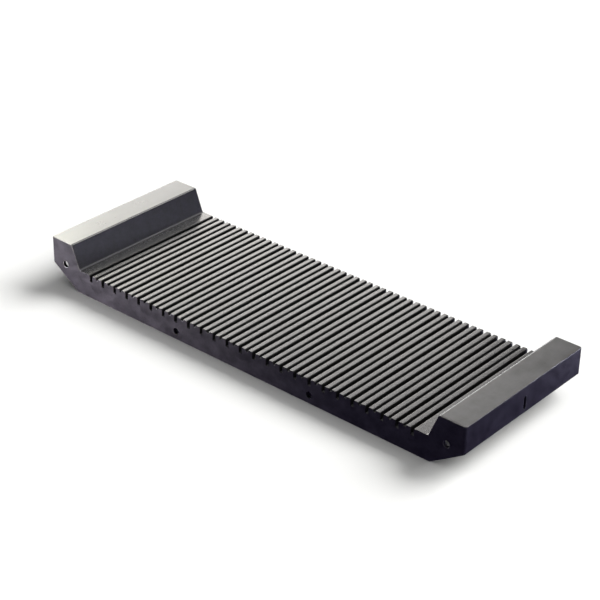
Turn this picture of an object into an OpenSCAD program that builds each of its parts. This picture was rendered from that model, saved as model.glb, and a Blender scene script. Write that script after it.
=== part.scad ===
// Storage tray for circuit boards, moulded in black conductive plastic.
// Boards stand on edge in the slots across the deck. The two hollow end blocks are the hand grips.
// X runs along the tray, Y from front to rear and Z up. The origin is on the table, under the centre.

/* [Tray] */
// Length over the two end walls
tray_l = 490; // [440:1:560]
// Width from the front face to the rear face
tray_w = 170; // [130:1:220]
// Height of the rib tops above the table
deck_z = 24.8; // [22:0.1:32]
// Thickness of the moulded walls
wall = 3; // [2.4:0.1:4]
// Radius of the four upright outer corners
corner_r = 2.4; // [1:0.1:3]

/* [End blocks] */
// Height of the blocks above the table
block_z = 48.5; // [42:0.1:60]
// Width of the flat top of a block
block_top_w = 27.7; // [20:0.1:36]
// How far the sloping inner wall runs out between its top and its foot
slope_run = 9.5; // [4:0.1:16]
// Radius of the inner top edge
brow_r = 2.5; // [0.5:0.1:4]
// Radius of the fillet where the inner wall meets the deck
foot_r = 2.5; // [0.5:0.1:5]
// Radius inside the hollow, where the top meets the inner wall and the end wall
inside_r = 1; // [0.3:0.1:2]
// Height of the end wall's lower edge above the table
grip_z = 22; // [14:0.1:28]
// Length of the cut-away under each end
grip_run = 34; // [20:0.5:36]
// Width of the upright slit in each end wall
slit_w = 3.5; // [2:0.1:5]
// Height of that slit, end to end
slit_h = 12.7; // [8:0.1:16]
// Height of the slit's centre above the table
slit_z = 32; // [31:0.1:36]

/* [Slots] */
// Distance from a deep slot to the shallow slot beside it
slot_pitch = 8; // [6.5:0.1:10]
// Width of a deep slot
deep_w = 3.2; // [1.8:0.1:4]
// Depth of a deep slot
deep_h = 6.9; // [5:0.1:9]
// Width of a shallow slot
shallow_w = 2.2; // [1.2:0.1:3]
// Depth of a shallow slot
shallow_h = 2.2; // [1:0.1:4]
// Radius that eases a board into a slot
lead_r = 1.1; // [0.2:0.05:1.2]
// Narrowest plain land between the last deep slot and a block
land_min = 8; // [4:0.5:16]

/* [Link holes] */
// Diameter of the holes that link one tray to the next
link_d = 6.4; // [4:0.1:8]
// Distance between the two low holes of a side
low_link_span = 160; // [100:1:300]
// Height of the low holes
low_link_z = 8.5; // [6:0.1:12]
// Distance of a high hole from the end wall's outer face
high_link_inset = 18.1; // [14:0.1:24]
// Height of the high holes
high_link_z = 24.7; // [20:0.1:34]

/* [Underside] */
// Thickness of the deck plate under the deep slots
plate_t = 3; // [2:0.1:4]
// Wall left between a deep slot and the pocket beside it
pocket_wall = 2.5; // [1.5:0.1:3]
// Plate left at each end of a pocket
pocket_end = 4; // [2:0.5:8]
// Thickness of the stiffening ribs
stiffener_t = 2.5; // [1.5:0.1:3]
// How far the stiffening ribs hang below the deck plate
stiffener_h = 9; // [4:0.5:10]
// Distance between the two long stiffening ribs
stiffener_span = 56; // [30:1:80]
// Distance of each outer cross web from its end of the deck
cross_web_inset = 62.1; // [30:0.1:90]

/* [Hidden] */
$fn = 48;
arc_steps = 6;
full_turn = 360;
half_turn = full_turn / 2;
front = -1;
rear = 1;
left = -1;
right = 1;
cut = 1;
least_flat = 0.4;
shell_black = "#2c2930";
deck_black = "#232226";
inner_black = "#1b1a1e";

half_l = tray_l / 2;
half_w = tray_w / 2;
inner_half_w = half_w - wall;
corner = min(corner_r, wall - least_flat);

brow_x = half_l - block_top_w;
foot_x = brow_x - slope_run;
lean = atan2(block_z - deck_z, slope_run);
deck_end_x = foot_x - foot_r * tan(lean / 2);

slot_floor_z = deck_z - deep_h;
plate_z = slot_floor_z - plate_t;
shallow_floor_z = deck_z - shallow_h;
pair_pitch = 2 * slot_pitch;
rib_w = slot_pitch - (deep_w + shallow_w) / 2;
rib_pairs = floor((2 * (deck_end_x - land_min) - deep_w) / pair_pitch);
cross_web_x = deck_end_x - cross_web_inset;

// Place of deep slot k, counted from 0 at the left end
function deep_x(k) = (k - rib_pairs / 2) * pair_pitch;

// Centre of rib pair n, counted from 1 at the left end
function pair_x(n) = deep_x(n - 1) + slot_pitch;

function rib_name(n) = str("rib_pair_", n < 10 ? "0" : "", n);

function unit(v) = v / norm(v);

// Points of the arc of radius r that rounds the corner c between the edges from a and to b
function corner_arc(a, c, b, r) =
    let (
        to_a = unit(a - c),
        to_b = unit(b - c),
        half = acos(to_a * to_b) / 2,
        centre = c + unit(to_a + to_b) * r / sin(half),
        start = c + to_a * r / tan(half) - centre,
        end = c + to_b * r / tan(half) - centre,
        from = atan2(start.y, start.x),
        turn = (atan2(end.y, end.x) - from + full_turn + half_turn) % full_turn - half_turn
    )
    [for (i = [0:arc_steps]) centre + r * [cos(from + turn * i / arc_steps), sin(from + turn * i / arc_steps)]];

// Upper outline of a block seen from the front: foot fillet, inner wall, brow and end wall
function block_skyline() =
    let (
        deck_edge = [0, deck_z],
        foot = [foot_x, deck_z],
        brow = [brow_x, block_z],
        top = [half_l, block_z]
    )
    concat(corner_arc(deck_edge, foot, brow, foot_r), corner_arc(foot, brow, top, brow_r), [top]);

// X of the inner face of the sloping wall at height z
function slope_inside_x(z) = foot_x + wall / sin(lean) + (z - deck_z) / tan(lean);

// Draws a front-view outline and gives it a thickness from y0 to y1
module extrude_y(y0, y1) {
    translate([0, y1, 0])
        rotate([90, 0, 0])
            linear_extrude(y1 - y0)
                children();
}

module on_end(end) {
    if (end == left) mirror([1, 0, 0]) children();
    else children();
}

module on_side(side) {
    if (side == rear) mirror([0, 1, 0]) children();
    else children();
}

// Round hole through a side, for a pin or a bolt that links two trays
module link_hole(x, z) {
    translate([x, -half_w - cut, z])
        rotate([-90, 0, 0])
            cylinder(d = link_d, h = wall + 2 * cut);
}

module side_wall(side) {
    color(shell_black)
        on_side(side)
            difference() {
                translate([-deck_end_x, -half_w, 0])
                    cube([2 * deck_end_x, wall, slot_floor_z]);
                for (end = [left, right]) link_hole(end * low_link_span / 2, low_link_z);
            }
}

// Side of a block, down to the table, with the cut-away that makes room for a hand under the end
module cheek(side, end) {
    outline = concat(block_skyline(), [[half_l, grip_z], [half_l - grip_run, 0], [deck_end_x, 0]]);
    plan_corner = corner_arc([0, -half_w], [half_l, -half_w], [half_l, 0], corner);
    plan = concat(plan_corner, [[half_l, -inner_half_w], [deck_end_x, -inner_half_w], [deck_end_x, -half_w]]);
    color(shell_black)
        on_side(side)
            on_end(end)
                difference() {
                    intersection() {
                        extrude_y(-half_w, -inner_half_w) polygon(outline);
                        linear_extrude(block_z) polygon(plan);
                    }
                    link_hole(half_l - high_link_inset, high_link_z);
                }
}

// Bent shell of a block between its cheeks: inner wall, top and end wall, open underneath
module end_cover(end) {
    under_deck_z = deck_z - wall;
    under_top_z = block_z - wall;
    grip_edge = [half_l - wall, grip_z];
    end_corner = [half_l - wall, under_top_z];
    brow_corner = [slope_inside_x(under_top_z), under_top_z];
    foot_corner = [slope_inside_x(under_deck_z), under_deck_z];
    inside = concat(
        [[half_l, grip_z], grip_edge],
        corner_arc(grip_edge, end_corner, brow_corner, inside_r),
        corner_arc(end_corner, brow_corner, foot_corner, inside_r),
        corner_arc(brow_corner, foot_corner, [0, under_deck_z], foot_r + wall)
    );
    color(shell_black)
        on_end(end)
            difference() {
                extrude_y(-inner_half_w, inner_half_w) polygon(concat(block_skyline(), inside));
                translate([half_l - wall - cut, 0, slit_z]) end_slit();
            }
}

// Upright slit with round ends, through an end wall
module end_slit() {
    straight = slit_h - slit_w;
    rotate([90, 0, 90])
        linear_extrude(wall + 2 * cut) {
            square([slit_w, straight], center = true);
            for (z = [-straight / 2, straight / 2])
                translate([0, z]) circle(d = slit_w);
        }
}

// Plain end of the deck between the last deep slot and a block
module end_land(end) {
    slot_edge_x = deep_x(rib_pairs) + deep_w / 2;
    top_edge = [slot_edge_x, deck_z];
    lead_in = corner_arc([slot_edge_x, slot_floor_z], top_edge, [deck_end_x, deck_z], lead_r);
    foot = [[deck_end_x, deck_z], [deck_end_x, slot_floor_z], [slot_edge_x, slot_floor_z]];
    color(deck_black)
        on_end(end)
            extrude_y(-half_w, half_w) polygon(concat(lead_in, foot));
}

// One rib of the comb, centred on x = 0, with eased edges along both slots
module rib() {
    low_left = [-rib_w / 2, slot_floor_z];
    low_right = [rib_w / 2, slot_floor_z];
    top_left = [-rib_w / 2, deck_z];
    top_right = [rib_w / 2, deck_z];
    eased_left = corner_arc(low_left, top_left, top_right, lead_r);
    eased_right = corner_arc(top_left, top_right, low_right, lead_r);
    extrude_y(-half_w, half_w)
        polygon(concat([low_right, low_left], eased_left, eased_right));
}

module rib_pair(n) {
    color(deck_black)
        for (side = [left, right])
            translate([pair_x(n) + side * (shallow_w + rib_w) / 2, 0, 0]) rib();
}

// Strip between the two ribs of each pair, which stops a board at the shallow depth
module shallow_slot_floors() {
    color(deck_black)
        for (n = [1:rib_pairs])
            translate([pair_x(n) - shallow_w / 2, -half_w, slot_floor_z])
                cube([shallow_w, tray_w, shallow_floor_z - slot_floor_z]);
}

// Floor of the deep slots, cored from below under each rib pair
module deck_plate() {
    pocket_w = pair_pitch - deep_w - 2 * pocket_wall;
    lines_y = [-inner_half_w, -stiffener_span / 2, stiffener_span / 2, inner_half_w];
    color(deck_black)
        difference() {
            translate([-deck_end_x, -inner_half_w, plate_z])
                cube([2 * deck_end_x, 2 * inner_half_w, plate_t]);
            for (n = [1:rib_pairs], row = [0:len(lines_y) - 2])
                translate([pair_x(n) - pocket_w / 2, lines_y[row] + pocket_end, plate_z - cut])
                    cube([pocket_w, lines_y[row + 1] - lines_y[row] - 2 * pocket_end, plate_t + 2 * cut]);
        }
}

module long_stiffener(side) {
    color(inner_black)
        on_side(side)
            translate([-deck_end_x, -(stiffener_span + stiffener_t) / 2, plate_z - stiffener_h])
                cube([2 * deck_end_x, stiffener_t, stiffener_h]);
}

// Web across the tray at x, in three bays between the side walls and the long ribs
module cross_web(x) {
    rib_out_y = (stiffener_span + stiffener_t) / 2;
    rib_in_y = (stiffener_span - stiffener_t) / 2;
    bays = [[-inner_half_w, -rib_out_y], [-rib_in_y, rib_in_y], [rib_out_y, inner_half_w]];
    color(inner_black)
        for (bay = bays)
            translate([x - stiffener_t / 2, bay[0], plate_z - stiffener_h])
                cube([stiffener_t, bay[1] - bay[0], stiffener_h]);
}

side_wall(front);  // front_side_wall
side_wall(rear);  // rear_side_wall
cheek(front, left);  // front_left_cheek
cheek(front, right);  // front_right_cheek
cheek(rear, left);  // rear_left_cheek
cheek(rear, right);  // rear_right_cheek
end_cover(left);  // left_end_cover
end_cover(right);  // right_end_cover
end_land(left);  // left_land
end_land(right);  // right_land
deck_plate();
for (n = [1:rib_pairs]) rib_pair(n);
shallow_slot_floors();
long_stiffener(front);  // front_stiffener
long_stiffener(rear);  // rear_stiffener
cross_web(-cross_web_x);  // left_cross_web
cross_web(0);  // centre_cross_web
cross_web(cross_web_x);  // right_cross_web
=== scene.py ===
"""Looks of a slotted storage tray, moulded in black carbon-filled polypropylene."""
import logging
import math
from abc import ABC, abstractmethod
from collections.abc import Mapping, Sequence
from dataclasses import dataclass, field
from enum import Enum

import bmesh
import bpy
from mathutils import Matrix, Vector
from mathutils.bvhtree import BVHTree


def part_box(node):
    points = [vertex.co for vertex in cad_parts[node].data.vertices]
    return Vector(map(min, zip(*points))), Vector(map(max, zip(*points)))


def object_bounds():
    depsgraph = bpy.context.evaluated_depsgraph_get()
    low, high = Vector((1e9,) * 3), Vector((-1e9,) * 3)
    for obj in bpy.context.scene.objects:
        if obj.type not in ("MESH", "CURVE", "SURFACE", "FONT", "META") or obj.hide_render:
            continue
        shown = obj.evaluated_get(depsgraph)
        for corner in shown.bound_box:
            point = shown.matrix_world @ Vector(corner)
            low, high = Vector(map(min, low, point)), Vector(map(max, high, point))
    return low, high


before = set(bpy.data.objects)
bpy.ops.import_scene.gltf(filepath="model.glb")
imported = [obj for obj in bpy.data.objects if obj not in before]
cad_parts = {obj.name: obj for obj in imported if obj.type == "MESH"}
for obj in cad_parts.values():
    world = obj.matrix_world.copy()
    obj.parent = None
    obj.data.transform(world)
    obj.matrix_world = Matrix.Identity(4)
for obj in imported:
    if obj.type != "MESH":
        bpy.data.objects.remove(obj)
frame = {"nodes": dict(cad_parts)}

CAD_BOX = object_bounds()
MM = 0.001
MICRON = 0.001 * MM
# Cosine beyond which a face counts as turned towards a direction
FACING = 0.5
# Cosine beyond which a face counts as level
LEVEL = 0.995
# Name of the modifier that rounds the free edges
EASED = "eased edges"
log = logging.getLogger("tray")

EdgeName = frozenset[tuple[int, ...]]


class MaterialSlot(Enum):
    """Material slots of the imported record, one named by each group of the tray's sections."""

    SHELL = "moulded_shell"
    DECK = "slotted_deck"
    UNDERSIDE = "underside_ribs"


class Receiver(Enum):
    """What a studio light falls on."""

    TRAY = "tray"
    FLOOR = "floor"


class End(Enum):
    """The two ends of the tray, by the sign of their x."""

    LEFT = -1
    RIGHT = 1

    @property
    def word(self) -> str:
        """Name of the end, as the sections have it."""
        return self.name.lower()


class EdgeKind(Enum):
    """What an edge of a moulded section is, seen from outside."""

    FLAT = "within one face or a gentle curve"
    SEAM = "where two sections of the moulding run into each other"
    HOLLOW = "an inside corner"
    CORE = "on the inner side of a side wall, where the mould's core leaves it sharp"
    FREE = "an outside corner that the mould leaves slightly round"


def linear(hex_colour: str) -> tuple[float, float, float, float]:
    """Turn an sRGB hex colour into linear light, by the formula of that standard.

    Args:
        hex_colour: Colour such as "#2a2930".

    Returns:
        Red, green, blue and an alpha of one.
    """
    parts = [int(hex_colour[i:i + 2], 16) / 255 for i in (1, 3, 5)]
    light = [p / 12.92 if p <= 0.04045 else ((p + 0.055) / 1.055) ** 2.4 for p in parts]
    return (*light, 1.0)


def add_node(
    tree: bpy.types.NodeTree,
    kind: str,
    settings: Mapping[str | int, object] | None = None,
    links: Mapping[str | int, bpy.types.NodeSocket] | None = None,
) -> bpy.types.Node:
    """Add one shader node with its settings and links.

    Args:
        tree: Node tree that the node joins.
        kind: Blender's name for the node type.
        settings: Values by input socket, or by property where no socket has that name.
        links: Output sockets of other nodes by the input socket that they feed.

    Returns:
        The new node.
    """
    node = tree.nodes.new(kind)
    for key, value in (settings or {}).items():
        if isinstance(key, int) or key in node.inputs:
            node.inputs[key].default_value = value
        else:
            setattr(node, key, value)
    for key, source in (links or {}).items():
        tree.links.new(source, node.inputs[key])
    return node


@dataclass(frozen=True)
class MouldedPolypropylene:
    """Carbon-filled polypropylene as it comes out of a steel mould.

    The carbon makes it almost black. The skin is a smooth plastic one, so what the eye sees is a soft
    reflection of the lights, broken by the texture of the mould, by flow marks and by handling.

    Attributes:
        name: Name of the material.
        tone: Colour where the marks are faint.
        pale_tone: Colour where they are strong.
        rough_low: Roughness where the marks are faint.
        rough_high: Roughness where they are strong.
        flow_mm: Size of the flow marks along x, y and z.
        mottle_mm: Size of the blotches.
        grain_mm: Spacing of the fine grain.
        grain_depth_mm: Depth of that grain.
        flow_share: Weight of the flow marks in the mix.
        mottle_share: Weight of the blotches.
        grain_share: Weight of the grain.
        half_range: How far the mix leaves its middle before either colour is full.
        broad_detail: Octaves of finer detail within flow marks and blotches.
        grain_detail: Octaves of finer detail within the grain.
        ior: Refractive index of the plastic.
    """

    name: str
    tone: str
    pale_tone: str
    rough_low: float
    rough_high: float
    flow_mm: tuple[float, float, float]
    mottle_mm: float
    grain_mm: float
    grain_depth_mm: float
    flow_share: float = 1.0
    mottle_share: float = 0.7
    grain_share: float = 1.6
    half_range: float = 0.35
    broad_detail: float = 3.0
    grain_detail: float = 1.0
    ior: float = 1.5

    def make(self) -> bpy.types.Material:
        """Build the node material.

        Returns:
            The finished material.
        """
        material = bpy.data.materials.new(self.name)
        material.use_nodes = True
        tree = material.node_tree
        tree.nodes.clear()
        place = add_node(tree, "ShaderNodeTexCoord").outputs["Object"]
        grain = add_node(tree, "ShaderNodeTexNoise",
                         {"Scale": 1 / (self.grain_mm * MM), "Detail": self.grain_detail},
                         {"Vector": place})
        level = self.mix_marks(tree, place, grain.outputs["Fac"])
        tint = add_node(tree, "ShaderNodeValToRGB", {}, {"Fac": level})
        for stop, colour in zip(tint.color_ramp.elements, (self.tone, self.pale_tone)):
            stop.color = linear(colour)
        rough = add_node(tree, "ShaderNodeMapRange", {"To Min": self.rough_low, "To Max": self.rough_high},
                         {"Value": level})
        bump = add_node(tree, "ShaderNodeBump", {"Strength": 1.0, "Distance": self.grain_depth_mm * MM},
                        {"Height": grain.outputs["Fac"]})
        skin = add_node(tree, "ShaderNodeBsdfPrincipled", {"IOR": self.ior},
                        {"Base Color": tint.outputs["Color"], "Roughness": rough.outputs["Result"],
                         "Normal": bump.outputs["Normal"]})
        add_node(tree, "ShaderNodeOutputMaterial", {}, {"Surface": skin.outputs["BSDF"]})
        return material

    def mix_marks(
        self,
        tree: bpy.types.NodeTree,
        place: bpy.types.NodeSocket,
        grain: bpy.types.NodeSocket,
    ) -> bpy.types.NodeSocket:
        """Add the flow marks and the blotches, and mix them with the grain.

        Args:
            tree: Node tree of the material.
            place: Position on the tray, in metres.
            grain: Pattern of the fine grain.

        Returns:
            Strength of all marks together, from 0 to 1.
        """
        stretch = [1 / (size * MM) for size in self.flow_mm]
        flow_place = add_node(tree, "ShaderNodeMapping", {"Scale": stretch}, {"Vector": place})
        flow = add_node(tree, "ShaderNodeTexNoise", {"Scale": 1.0, "Detail": self.broad_detail},
                        {"Vector": flow_place.outputs["Vector"]})
        mottle = add_node(tree, "ShaderNodeTexNoise",
                          {"Scale": 1 / (self.mottle_mm * MM), "Detail": self.broad_detail},
                          {"Vector": place})
        marks = add_node(tree, "ShaderNodeMath", {"operation": "MULTIPLY", 1: self.flow_share},
                         {0: flow.outputs["Fac"]})
        for pattern, share in ((mottle.outputs["Fac"], self.mottle_share), (grain, self.grain_share)):
            marks = add_node(tree, "ShaderNodeMath", {"operation": "MULTIPLY_ADD", 1: share},
                             {0: pattern, 2: marks.outputs["Value"]})
        middle = (self.flow_share + self.mottle_share + self.grain_share) / 2
        level = add_node(tree, "ShaderNodeMapRange",
                         {"From Min": middle - self.half_range, "From Max": middle + self.half_range},
                         {"Value": marks.outputs["Value"]})
        return level.outputs["Result"]


# The real grain of all these faces is about 0.1 mm. It is drawn at 0.9 to 1.2 mm, or it would not show.

# Spark-textured mould face: a matt, slightly mottled skin.
TEXTURED_SHELL = MouldedPolypropylene(
    name="carbon_polypropylene_spark_textured", tone="#17151b", pale_tone="#322e39",
    rough_low=0.33, rough_high=0.47, flow_mm=(11, 8, 8), mottle_mm=3, grain_mm=0.9, grain_depth_mm=0.09,
    flow_share=1.3, mottle_share=0.7, grain_share=0.9, half_range=0.4)
# The same texture on the block tops, rubbed smoother in patches by the hands that carry the tray.
RUBBED_TOP = MouldedPolypropylene(
    name="carbon_polypropylene_rubbed_smooth", tone="#161518", pale_tone="#38363b",
    rough_low=0.26, rough_high=0.41, flow_mm=(14, 22, 14), mottle_mm=4, grain_mm=1.2, grain_depth_mm=0.015,
    flow_share=1.6, mottle_share=0.5, grain_share=0.3, half_range=0.4)
# Brow of a block, where hands have polished the texture away: a narrow glossy line.
POLISHED_BROW = MouldedPolypropylene(
    name="carbon_polypropylene_hand_polished", tone="#1c1b1e", pale_tone="#2c2a2e",
    rough_low=0.18, rough_high=0.28, flow_mm=(24, 40, 24), mottle_mm=5, grain_mm=1.2, grain_depth_mm=0.01)
# Outer edges of the shell, worn smooth where they knock against benches and other trays, and painted pale as
# a painted highlight along the rounded edges.
WORN_EDGE_PAINTED_HIGHLIGHT = MouldedPolypropylene(
    name="carbon_polypropylene_edge_worn", tone="#343236", pale_tone="#605e62",
    rough_low=0.28, rough_high=0.42, flow_mm=(12, 12, 12), mottle_mm=3, grain_mm=0.9, grain_depth_mm=0.02)
# Milled and stoned mould face: a smoother skin with faint streaks along the ribs.
STONED_DECK = MouldedPolypropylene(
    name="carbon_polypropylene_stoned", tone="#18171a", pale_tone="#323034",
    rough_low=0.19, rough_high=0.29, flow_mm=(3, 60, 20), mottle_mm=4, grain_mm=1.2, grain_depth_mm=0.025,
    flow_share=1.4, grain_share=1.0)
# Slots left by spark-eroded blades in the mould, which no tool polishes: dull, and painted near black as
# painted shade for the shade that falls into the deep slots.
DULL_SLOT_PAINTED_SHADE = MouldedPolypropylene(
    name="carbon_polypropylene_spark_eroded_slot", tone="#0a090b", pale_tone="#151416",
    rough_low=0.55, rough_high=0.70, flow_mm=(3, 40, 20), mottle_mm=4, grain_mm=1.2, grain_depth_mm=0.04)
# Bare machined core side of the mould: dull and even.
MACHINED_CORE = MouldedPolypropylene(
    name="carbon_polypropylene_machined_core", tone="#18171a", pale_tone="#222124",
    rough_low=0.45, rough_high=0.60, flow_mm=(25, 25, 25), mottle_mm=6, grain_mm=1.2, grain_depth_mm=0.02)


class MouldedEdges:
    """Tells the free edges of the moulding from the seams between its sections, and eases the free ones."""

    # Where along an edge the search looks for the next section, as shares of its length
    STATIONS = (0.02, 0.25, 0.5, 0.75, 0.98)

    def __init__(
        self,
        nodes: Mapping[str, bpy.types.Object],
        probe_mm: float = 0.05,
        reach_mm: float = 0.02,
    ) -> None:
        """Index the faces of every section.

        Args:
            nodes: The sections of the tray by name.
            probe_mm: How far beside an edge the search looks for the next section.
            reach_mm: How near that section's face then has to be.
        """
        self.probe = probe_mm * MM
        self.reach = reach_mm * MM
        self.inner_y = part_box("left_end_cover")[1][1]
        self.owner: list[str] = []
        points: list[Vector] = []
        faces: list[tuple[int, ...]] = []
        for name, node in nodes.items():
            first = len(points)
            points.extend(v.co.copy() for v in node.data.vertices)
            faces.extend(tuple(first + i for i in p.vertices) for p in node.data.polygons)
            self.owner.extend(name for _ in node.data.polygons)
        self.tree = BVHTree.FromPolygons(points, faces)

    def ease(self, node: bpy.types.Object, radius_mm: float) -> int:
        """Round the free edges of a section with modifiers, which leave its own vertices alone.

        Args:
            node: The section.
            radius_mm: Radius of the eased edges.

        Returns:
            How many edges are eased.
        """
        kinds = self.sort(node)
        self.mark(node.data, kinds)
        self.add_rounding(node, radius_mm)
        return sum(kind is EdgeKind.FREE for kind in kinds.values())

    def sort(self, node: bpy.types.Object) -> dict[EdgeName, EdgeKind]:
        """Sort all edges of a section.

        Args:
            node: The section.

        Returns:
            What each edge is, by its name.
        """
        welded = bmesh.new()
        welded.from_mesh(node.data)
        bmesh.ops.remove_doubles(welded, verts=welded.verts, dist=MICRON)
        kinds = {self.key(*(v.co for v in e.verts)): self.kind(e, node.name) for e in welded.edges}
        welded.free()
        return kinds

    def kind(self, edge: bmesh.types.BMEdge, name: str, sharp_deg: float = 28.0) -> EdgeKind:
        """Sort one edge of a welded section.

        Args:
            edge: The edge.
            name: Section that it belongs to.
            sharp_deg: Angle between its faces above which it counts as a corner.

        Returns:
            What the edge is.
        """
        turn = edge.calc_face_angle_signed(0.0)
        if len(edge.link_faces) != 2 or abs(turn) < math.radians(sharp_deg):
            return EdgeKind.FLAT
        if turn < 0:
            return EdgeKind.HOLLOW
        if any(self.on_core(face) for face in edge.link_faces):
            return EdgeKind.CORE
        a, b = (v.co for v in edge.verts)
        along = (b - a).normalized()
        for face in edge.link_faces:
            out = along.cross(face.normal)
            if out.dot(face.calc_center_median() - a) > 0:
                out.negate()
            beyond = [a.lerp(b, share) + out * self.probe for share in self.STATIONS]
            within = (a + b) / 2 - out * self.probe
            if any(self.meets_other(point, name) for point in (*beyond, within)):
                return EdgeKind.SEAM
        return EdgeKind.FREE

    def on_core(self, face: bmesh.types.BMFace) -> bool:
        """Say whether a face is the inner side of a side wall."""
        y = face.calc_center_median().y
        return face.normal.y * math.copysign(1.0, y) < -FACING and abs(y) > self.inner_y - self.probe

    def meets_other(self, point: Vector, name: str) -> bool:
        """Say whether another section's face passes through a point."""
        near = self.tree.find_nearest_range(point, self.reach)
        return any(self.owner[index] != name for _, _, index, _ in near)

    @staticmethod
    def key(a: Vector, b: Vector) -> EdgeName:
        """Name an edge by its two ends, in whole micrometres."""
        return frozenset(tuple(round(c / MICRON) for c in p) for p in (a, b))

    @classmethod
    def mark(cls, mesh: bpy.types.Mesh, kinds: Mapping[EdgeName, EdgeKind]) -> None:
        """Give the free edges of a section their weight, and all its faces smooth shading.

        Args:
            mesh: Mesh of the section.
            kinds: What each of its edges is.
        """
        if "custom_normal" in mesh.attributes:
            mesh.attributes.remove(mesh.attributes["custom_normal"])
        mesh.polygons.foreach_set("use_smooth", [True] * len(mesh.polygons))
        ends = ([mesh.vertices[i].co for i in edge.vertices] for edge in mesh.edges)
        found = [kinds.get(cls.key(*pair), EdgeKind.FLAT) for pair in ends]
        weight = mesh.attributes.new("bevel_weight_edge", "FLOAT", "EDGE")
        weight.data.foreach_set("value", [float(kind is EdgeKind.FREE) for kind in found])

    @staticmethod
    def add_rounding(
        node: bpy.types.Object,
        radius_mm: float,
        segments: int = 2,
        flat_deg: float = 0.5,
        crease_deg: float = 50.0,
    ) -> None:
        """Add the modifiers that round the weighted edges and shade the rest evenly.

        Args:
            node: The section.
            radius_mm: Radius of the eased edges.
            segments: Steps of their rounding.
            flat_deg: Angle up to which neighbouring faces are joined into one.
            crease_deg: Angle above which an edge that stays sharp also breaks the shading.
        """
        weld = node.modifiers.new("weld", "WELD")
        weld.merge_threshold = MICRON
        flat = node.modifiers.new("whole faces", "DECIMATE")
        flat.decimate_type = "DISSOLVE"
        flat.angle_limit = math.radians(flat_deg)
        bevel = node.modifiers.new(EASED, "BEVEL")
        bevel.limit_method = "WEIGHT"
        bevel.offset_type = "OFFSET"
        bevel.width = radius_mm * MM
        bevel.segments = segments
        bevel.loop_slide = False
        bevel.use_clamp_overlap = False
        crease = node.modifiers.new("creases", "EDGE_SPLIT")
        crease.split_angle = math.radians(crease_deg)
        crease.use_edge_sharp = False
        even = node.modifiers.new("even shading", "WEIGHTED_NORMAL")
        even.keep_sharp = True


class Wardrobe:
    """Makes each finish once and hands out its material."""

    def __init__(self) -> None:
        """Start empty."""
        self.made: dict[MouldedPolypropylene, bpy.types.Material] = {}

    def material(self, finish: MouldedPolypropylene) -> bpy.types.Material:
        """Give the material of a finish.

        Args:
            finish: The finish.

        Returns:
            Its material, made at the first call.
        """
        if finish not in self.made:
            self.made[finish] = finish.make()
        return self.made[finish]


@dataclass
class SubAssembly(ABC):
    """Some sections of the moulding that are eased and dressed together."""

    edge_mm: float = 0.35
    edge_finish: MouldedPolypropylene | None = None

    @property
    @abstractmethod
    def slot(self) -> MaterialSlot:
        """Material slot of the sections."""

    @abstractmethod
    def names(self) -> list[str]:
        """List the sections."""

    @abstractmethod
    def finish(self, face: bpy.types.MeshPolygon) -> MouldedPolypropylene:
        """Choose the finish of one face, by where it is and where it points."""

    def build(self, edges: MouldedEdges) -> None:
        """Ease the free edges of every section.

        Args:
            edges: Edges of the whole moulding.
        """
        for name in self.names():
            eased = edges.ease(frame["nodes"][name], self.edge_mm)
            log.info("%s: %s has %d eased edges", type(self).__name__, name, eased)

    def dress(self, wardrobe: Wardrobe) -> None:
        """Give every face of every section its finish, and the eased edges theirs.

        Args:
            wardrobe: Where the materials come from.
        """
        for name in self.names():
            node = frame["nodes"][name]
            chosen = [self.finish(face) for face in node.data.polygons]
            worn = list(dict.fromkeys(chosen))
            node.data.materials.clear()
            for finish in worn:
                node.data.materials.append(wardrobe.material(finish))
            node.data.polygons.foreach_set("material_index", [worn.index(finish) for finish in chosen])
            # The eased edges take the pale edge finish: wear, with a painted highlight along them.
            if self.edge_finish:
                node.data.materials.append(wardrobe.material(self.edge_finish))
                node.modifiers[EASED].material = len(worn)
            self.slot.value
            log.info("%s: %s wears %s", type(self).__name__, name, ", ".join(finish.name for finish in worn))


@dataclass
class EndBlock(SubAssembly):
    """Raised hollow block at one end: the bent cover and the two cheeks that close it."""

    end: End = End.LEFT
    edge_mm: float = 0.6
    edge_finish: MouldedPolypropylene | None = WORN_EDGE_PAINTED_HIGHLIGHT
    brow_drop_mm: float = 2.0
    # Cosine beyond which a face looks up at all, as the sloping inner wall does
    upward: float = 0.05

    @property
    def slot(self) -> MaterialSlot:
        """Material slot of the block."""
        return MaterialSlot.SHELL

    def names(self) -> list[str]:
        """List the cover and the cheeks."""
        cheeks = [f"{side}_{self.end.word}_cheek" for side in ("front", "rear")]
        return [f"{self.end.word}_end_cover", *cheeks]

    def finish(self, face: bpy.types.MeshPolygon) -> MouldedPolypropylene:
        """Tell the rubbed top and its brow from the textured outside and the core side of the hollow.

        Args:
            face: A face of the cover or of a cheek.

        Returns:
            Its finish.
        """
        if face.normal.z > FACING and face.center.z > CAD_BOX[1][2] - self.brow_drop_mm * MM:
            return RUBBED_TOP if face.normal.z > LEVEL else POLISHED_BROW
        slope = face.normal.z > self.upward
        end_wall = face.normal.x * self.end.value > FACING
        cheek = face.normal.y * math.copysign(1.0, face.center.y) > FACING
        return TEXTURED_SHELL if slope or end_wall or cheek else MACHINED_CORE


@dataclass
class SideWalls(SubAssembly):
    """The two long walls under the deck."""

    edge_mm: float = 0.5
    edge_finish: MouldedPolypropylene | None = WORN_EDGE_PAINTED_HIGHLIGHT

    @property
    def slot(self) -> MaterialSlot:
        """Material slot of the walls."""
        return MaterialSlot.SHELL

    def names(self) -> list[str]:
        """List the walls."""
        return ["front_side_wall", "rear_side_wall"]

    def finish(self, face: bpy.types.MeshPolygon) -> MouldedPolypropylene:
        """Tell the textured outside from the core side."""
        return TEXTURED_SHELL if face.normal.y * face.center.y > 0 else MACHINED_CORE


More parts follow.
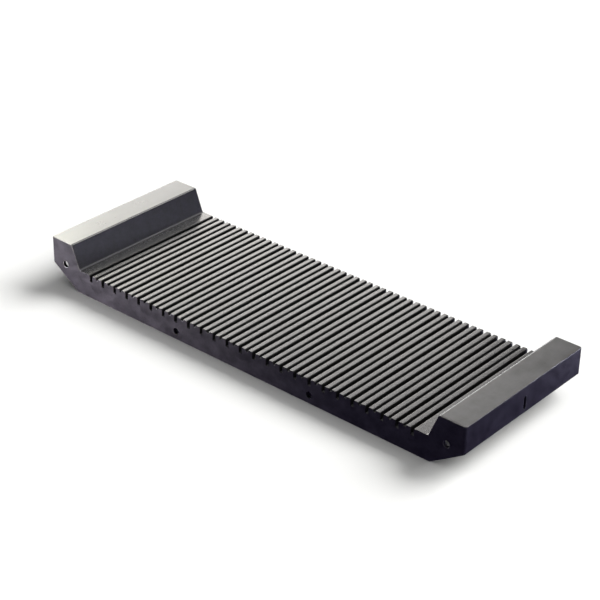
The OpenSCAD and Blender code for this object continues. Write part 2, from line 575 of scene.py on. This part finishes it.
@dataclass
class SlottedDeck(SubAssembly):
    """Comb of ribs with its slot floors, its plain lands and the plate that carries them."""

    edge_mm: float = 0.35
    top_z: float = field(default_factory=lambda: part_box("left_land")[1][2])
    top_drop_mm: float = 0.6
    # Cosine down to which the stoning reaches over the round edges of the ribs; below it they take the
    # painted slot shade
    stoned: float = 0.95

    @property
    def slot(self) -> MaterialSlot:
        """Material slot of the deck."""
        return MaterialSlot.DECK

    def names(self) -> list[str]:
        """List the lands, the rib pairs, the slot floors and the plate."""
        ribs = sorted(name for name in frame["nodes"] if name.startswith("rib_pair_"))
        return ["left_land", "right_land", *ribs, "shallow_slot_floors", "deck_plate"]

    def finish(self, face: bpy.types.MeshPolygon) -> MouldedPolypropylene:
        """Tell the ends of the ribs, which belong to the sides, from the deck, its slots and its core side.

        Args:
            face: A face of the deck.

        Returns:
            Its finish.
        """
        if abs(face.normal.y) > FACING:
            return TEXTURED_SHELL
        if face.normal.z < -FACING:
            return MACHINED_CORE
        on_top = face.center.z > self.top_z - self.top_drop_mm * MM
        # Slot walls, slot floors and the lower round of the rib edges take the near-black painted slot shade.
        return STONED_DECK if on_top and face.normal.z > self.stoned else DULL_SLOT_PAINTED_SHADE


@dataclass
class Underside(SubAssembly):
    """Stiffening ribs and cross webs below the deck."""

    edge_mm: float = 0.3

    @property
    def slot(self) -> MaterialSlot:
        """Material slot of the underside."""
        return MaterialSlot.UNDERSIDE

    def names(self) -> list[str]:
        """List the ribs and the webs."""
        webs = [f"{place}_cross_web" for place in ("left", "centre", "right")]
        return ["front_stiffener", "rear_stiffener", *webs]

    def finish(self, face: bpy.types.MeshPolygon) -> MouldedPolypropylene:
        """Give every face the finish of the core side."""
        return MACHINED_CORE


def direction(azimuth_deg: float, elevation_deg: float) -> Vector:
    """Give the unit vector towards an azimuth, counted from +X to +Y, and an elevation."""
    turn, rise = math.radians(azimuth_deg), math.radians(elevation_deg)
    return Vector((math.cos(turn) * math.cos(rise), math.sin(turn) * math.cos(rise), math.sin(rise)))


def hang(lamp: bpy.types.Light, place: Vector, away: Vector) -> bpy.types.Object:
    """Put a lamp in the scene.

    Args:
        lamp: The lamp.
        place: Where it hangs, in metres.
        away: Direction that it turns its back to.

    Returns:
        The light object.
    """
    light = bpy.data.objects.new(lamp.name, lamp)
    light.location = place
    light.rotation_euler = (-away).to_track_quat("-Z", "Y").to_euler()
    bpy.context.scene.collection.objects.link(light)
    return light


@dataclass
class SoftBox:
    """Rectangular studio light that falls on the tray.

    Attributes:
        name: Name of the light.
        azimuth_deg: Where it hangs as seen from its aim, counted from +X to +Y.
        elevation_deg: How high it hangs as seen from its aim.
        size: Its width and height, in metres.
        radiance: How bright its face is.
        tone: Colour of its light.
        distance: How far it hangs from its aim, in metres.
        aim: Point that it faces, in metres.
        spread_deg: Angle that its light spreads over, as a grid in front of it allows.
    """

    name: str
    azimuth_deg: float
    elevation_deg: float
    size: tuple[float, float]
    radiance: float
    tone: str = "#ffffff"
    distance: float = 2.0
    aim: tuple[float, float, float] = (0.0, 0.0, 0.03)
    spread_deg: float = 180.0

    def build(self) -> bpy.types.Object:
        """Hang the light.

        Returns:
            The light object.
        """
        lamp = bpy.data.lights.new(self.name, "AREA")
        lamp.shape = "RECTANGLE"
        lamp.size, lamp.size_y = self.size
        lamp.energy = self.radiance * math.pi * self.size[0] * self.size[1]
        lamp.color = linear(self.tone)[:3]
        lamp.spread = math.radians(self.spread_deg)
        away = direction(self.azimuth_deg, self.elevation_deg)
        return hang(lamp, Vector(self.aim) + away * self.distance, away)


@dataclass
class FloorWash:
    """Broad light from far off that whitens the floor and casts the tray's soft shadow on it.

    Attributes:
        name: Name of the light.
        azimuth_deg: Where it comes from, counted from +X to +Y.
        elevation_deg: How high it stands.
        width_deg: How wide it looks, and so how soft the shadow is.
        energy: How bright it is.
    """

    name: str
    azimuth_deg: float
    elevation_deg: float
    width_deg: float
    energy: float

    def build(self) -> bpy.types.Object:
        """Hang the light.

        Returns:
            The light object.
        """
        lamp = bpy.data.lights.new(self.name, "SUN")
        lamp.energy = self.energy
        lamp.angle = math.radians(self.width_deg)
        away = direction(self.azimuth_deg, self.elevation_deg)
        return hang(lamp, away, away)


@dataclass
class Studio:
    """Pale floor and backdrop, a dim room, washes for the floor and soft boxes round the tray.

    The strips stand lower than the deck, so that they light the walls of the tray and never glare on its top.
    """

    floor_radius: float = 12.0
    backdrop_height: float = 9.0
    sides: int = 96
    floor_tone: str = "#e6e6e4"
    backdrop_tone: str = "#ffffff"
    paper_rough: float = 0.9
    sky_tone: str = "#dfe3ea"
    sky_strength: float = 0.03
    ground_tone: str = "#a68ef0"
    ground_strength: float = 0.08
    # Height above and below the horizon over which the ground's glow gives way to the sky's
    horizon: float = 0.15
    floor_washes: Sequence[FloorWash] = (
        FloorWash("rear_wash", 65, 34, width_deg=50, energy=5.8),
        FloorWash("ceiling_wash", 95, 88, width_deg=100, energy=1.2),
    )
    boxes: Sequence[SoftBox] = (
        SoftBox("rear_low_strip", 138, 5, (1.75, 0.25), 10.0),
        SoftBox("rear_panel", 139, 20, (1.75, 0.5), 5.7, "#fffcf6"),
        SoftBox("rear_upper_panel", 131, 32, (0.85, 0.5), 3.5, "#fffcfa"),
        SoftBox("left_tall_box", 156, 38, (0.5, 0.9), 28.5, "#fffff0"),
        SoftBox("rear_right_top_box", 82, 52, (1.1, 0.7), 8.6),
        SoftBox("right_low_strip", 0, 0, (1.0, 0.04), 16.0, "#dedeff",
                distance=0.7, aim=(0.245, 0.0, 0.02)),
        SoftBox("rear_right_strip", 42, 3, (0.5, 0.25), 5.2, "#f4f8ff"),
        SoftBox("rear_right_card", 52, 0, (0.1, 0.02), 90.0, "#e6e6ff",
                distance=0.25, aim=(0.245, 0.085, 0.012)),
        SoftBox("front_left_strip", 230, 0, (0.3, 0.04), 17.0, "#f4f4ff",
                distance=0.59, aim=(-0.25, -0.08, 0.02), spread_deg=60),
        SoftBox("front_right_fill", 335, 18, (3.4, 0.9), 0.4),
        SoftBox("front_strip", 270, 0, (0.3, 0.04), 19.5, "#fff8e6",
                distance=0.52, aim=(-0.30, -0.085, 0.02), spread_deg=60),
    )

    def build(self) -> None:
        """Make the floor, the backdrop, the room and the lights."""
        rim = [direction(360 * i / self.sides, 0.0) * self.floor_radius for i in range(self.sides)]
        crown = [point + Vector((0.0, 0.0, self.backdrop_height)) for point in rim]
        walls = [(i, (i + 1) % self.sides, self.sides + (i + 1) % self.sides, self.sides + i)
                 for i in range(self.sides)]
        floor = self.set_piece("floor", rim, [tuple(range(self.sides))])
        backdrop = self.set_piece("backdrop", rim + crown, walls)
        backdrop.visible_shadow = False
        paper = floor.active_material.node_tree.nodes["Principled BSDF"]
        paper.inputs["Base Color"].default_value = linear(self.floor_tone)
        glow = backdrop.active_material.node_tree.nodes["Principled BSDF"]
        glow.inputs["Emission Color"].default_value = linear(self.backdrop_tone)
        glow.inputs["Emission Strength"].default_value = 1.0
        self.hang_room()
        receivers = {Receiver.TRAY: list(frame["nodes"].values()), Receiver.FLOOR: [floor]}
        groups = {}
        for receiver, objects in receivers.items():
            groups[receiver] = bpy.data.collections.new(f"{receiver.value}_lit")
            for item in objects:
                groups[receiver].objects.link(item)
        for lights, receiver in ((self.floor_washes, Receiver.FLOOR), (self.boxes, Receiver.TRAY)):
            for light in lights:
                light.build().light_linking.receiver_collection = groups[receiver]
                log.info("Studio: %s lights the %s", light.name, receiver.value)

    def set_piece(
        self,
        name: str,
        points: Sequence[Vector],
        faces: Sequence[tuple[int, ...]],
    ) -> bpy.types.Object:
        """Make a paper surface that the tray neither mirrors nor takes light from.

        Args:
            name: Name of the surface.
            points: Its corners, in metres.
            faces: Its faces, as numbers of corners.

        Returns:
            The surface.
        """
        mesh = bpy.data.meshes.new(name)
        mesh.from_pydata(points, [], faces)
        paper = bpy.data.materials.new(f"{name}_paper")
        paper.use_nodes = True
        paper.node_tree.nodes["Principled BSDF"].inputs["Roughness"].default_value = self.paper_rough
        mesh.materials.append(paper)
        piece = bpy.data.objects.new(name, mesh)
        bpy.context.scene.collection.objects.link(piece)
        piece.visible_glossy = False
        piece.visible_diffuse = False
        return piece

    def hang_room(self) -> None:
        """Light the scene dimly from the room, with a cooler glow from under the horizon."""
        world = bpy.data.worlds.new("studio")
        bpy.context.scene.world = world
        world.use_nodes = True
        tree = world.node_tree
        tree.nodes.clear()
        bearing = add_node(tree, "ShaderNodeTexCoord").outputs["Generated"]
        height = add_node(tree, "ShaderNodeSeparateXYZ", {}, {"Vector": bearing})
        rise = add_node(tree, "ShaderNodeMapRange", {"From Min": -self.horizon, "From Max": self.horizon},
                        {"Value": height.outputs["Z"]})
        tone = add_node(tree, "ShaderNodeValToRGB", {}, {"Fac": rise.outputs["Result"]})
        glows = ((self.ground_tone, self.ground_strength), (self.sky_tone, self.sky_strength))
        for stop, (colour, strength) in zip(tone.color_ramp.elements, glows):
            stop.color = (*(c * strength for c in linear(colour)[:3]), 1.0)
        glow = add_node(tree, "ShaderNodeBackground", {"Strength": 1.0}, {"Color": tone.outputs["Color"]})
        add_node(tree, "ShaderNodeOutputWorld", {}, {"Surface": glow.outputs["Background"]})


@dataclass
class PhotoCamera:
    """Camera at the photograph's viewing angle, for a square picture."""

    lens_mm: float = 103.6
    sensor_mm: float = 36.0
    azimuth_deg: float = 40.294
    elevation_deg: float = 29.526
    roll_deg: float = -1.137
    aim: tuple[float, float, float] = (-0.0124, 0.0101, 0.0277)
    distance: float = 1.5964

    def build(self) -> bpy.types.Object:
        """Place the camera and make it the scene's own.

        Returns:
            The camera object.
        """
        turn, rise = math.radians(self.azimuth_deg), math.radians(self.elevation_deg)
        right = Vector((math.cos(turn), math.sin(turn), 0.0))
        back = Vector((math.sin(turn) * math.cos(rise), -math.cos(turn) * math.cos(rise), math.sin(rise)))
        up = back.cross(right)
        stand = Matrix((right, up, back)).transposed().to_4x4()
        roll = Matrix.Rotation(math.radians(-self.roll_deg), 4, "Z")
        data = bpy.data.cameras.new("photo_camera")
        data.lens = self.lens_mm
        data.sensor_width = self.sensor_mm
        data.dof.use_dof = False
        camera = bpy.data.objects.new("photo_camera", data)
        camera.matrix_world = Matrix.Translation(Vector(self.aim) + back * self.distance) @ stand @ roll
        bpy.context.scene.collection.objects.link(camera)
        bpy.context.scene.camera = camera
        return camera


def main() -> None:
    """Build the studio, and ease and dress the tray."""
    logging.basicConfig(level=logging.INFO, format="%(message)s")
    PhotoCamera().build()
    Studio().build()
    bpy.context.scene.view_settings.view_transform = "Standard"
    edges = MouldedEdges(frame["nodes"])
    wardrobe = Wardrobe()
    for part in (EndBlock(end=End.LEFT), EndBlock(end=End.RIGHT), SideWalls(), SlottedDeck(), Underside()):
        part.build(edges)
        part.dress(wardrobe)


if __name__ == "__main__":
    main()
